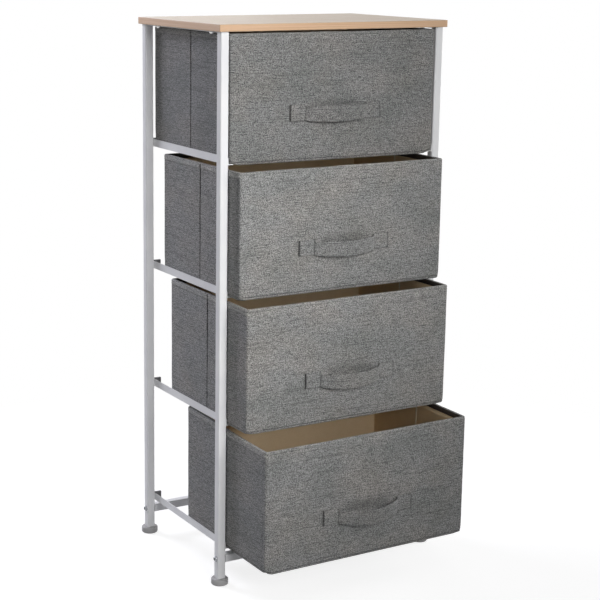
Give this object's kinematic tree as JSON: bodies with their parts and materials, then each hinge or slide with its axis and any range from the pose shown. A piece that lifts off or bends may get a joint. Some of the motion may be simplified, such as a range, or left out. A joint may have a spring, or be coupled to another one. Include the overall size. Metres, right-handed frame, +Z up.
{
  "type": "fabric drawer dresser",
  "caption": "Tall, narrow dresser: white square-tube steel frame on round feet, wood-effect top board, and soft linen-look drawers with pull straps that slide on L-section rails.",
  "frame": {"origin": "on the floor, under the middle of the whole piece as it stands with its drawers part open", "axes": "+X to the right as seen from the front, +Y to the back, +Z up"},
  "size_m": [0.455, 0.4454, 0.9597],
  "materials": {
    "board": "satin wood-effect laminate",
    "frame_paint": "white powder coat, satin",
    "foot_plastic": "matt moulded",
    "stop_plastic": "matt moulded",
    "bolt_steel": "zinc plated",
    "insert_steel": "zinc plated",
    "cover_fabric": "heathered linen-look weave",
    "lining_fabric": "plain non-woven",
    "stiffener_board": "plain grey board",
    "base_board": "covered in lining cloth"
  },
  "bodies": {
    "frame": {"top_board": "board", "front_left_post": "frame_paint", "front_left_foot": "foot_plastic", "front_right_post": "frame_paint", "front_right_foot": "foot_plastic", "rear_left_post": "frame_paint", "rear_left_foot": "foot_plastic", "rear_right_post": "frame_paint", "rear_right_foot": "foot_plastic", "left_rail_1": "frame_paint", "right_rail_1": "frame_paint", "left_rail_2": "frame_paint", "right_rail_2": "frame_paint", "left_rail_3": "frame_paint", "right_rail_3": "frame_paint", "left_rail_4": "frame_paint", "right_rail_4": "frame_paint", "drawer_stops": "stop_plastic", "left_top_bar": "frame_paint", "right_top_bar": "frame_paint", "front_cross_rail": "frame_paint", "rear_cross_rail": "frame_paint", "cross_rail_inserts": "insert_steel", "cross_rail_bolts": "bolt_steel", "board_screws": "bolt_steel"},
    "drawer_1": {"drawer_1_cover": "cover_fabric", "drawer_1_front_board": "stiffener_board", "drawer_1_back_board": "stiffener_board", "drawer_1_left_boards": "stiffener_board", "drawer_1_right_boards": "stiffener_board", "drawer_1_lining": "lining_fabric", "drawer_1_base_board": "base_board", "drawer_1_handle": "cover_fabric"},
    "drawer_2": {"drawer_2_cover": "cover_fabric", "drawer_2_front_board": "stiffener_board", "drawer_2_back_board": "stiffener_board", "drawer_2_left_boards": "stiffener_board", "drawer_2_right_boards": "stiffener_board", "drawer_2_lining": "lining_fabric", "drawer_2_base_board": "base_board", "drawer_2_handle": "cover_fabric"},
    "drawer_3": {"drawer_3_cover": "cover_fabric", "drawer_3_front_board": "stiffener_board", "drawer_3_back_board": "stiffener_board", "drawer_3_left_boards": "stiffener_board", "drawer_3_right_boards": "stiffener_board", "drawer_3_lining": "lining_fabric", "drawer_3_base_board": "base_board", "drawer_3_handle": "cover_fabric"},
    "drawer_4": {"drawer_4_cover": "cover_fabric", "drawer_4_front_board": "stiffener_board", "drawer_4_back_board": "stiffener_board", "drawer_4_left_boards": "stiffener_board", "drawer_4_right_boards": "stiffener_board", "drawer_4_lining": "lining_fabric", "drawer_4_base_board": "base_board", "drawer_4_handle": "cover_fabric"}
  },
  "joints": [
    {"name": "drawer_1_slide", "type": "slide", "parent": "frame", "child": "drawer_1", "axis": [0, -1, 0], "range_m": [0, 0.2]},
    {"name": "drawer_2_slide", "type": "slide", "parent": "frame", "child": "drawer_2", "axis": [0, -1, 0], "range_m": [-0.0355, 0.1645]},
    {"name": "drawer_3_slide", "type": "slide", "parent": "frame", "child": "drawer_3", "axis": [0, -1, 0], "range_m": [-0.063, 0.137]},
    {"name": "drawer_4_slide", "type": "slide", "parent": "frame", "child": "drawer_4", "axis": [0, -1, 0], "range_m": [-0.128, 0.072]}
  ]
}
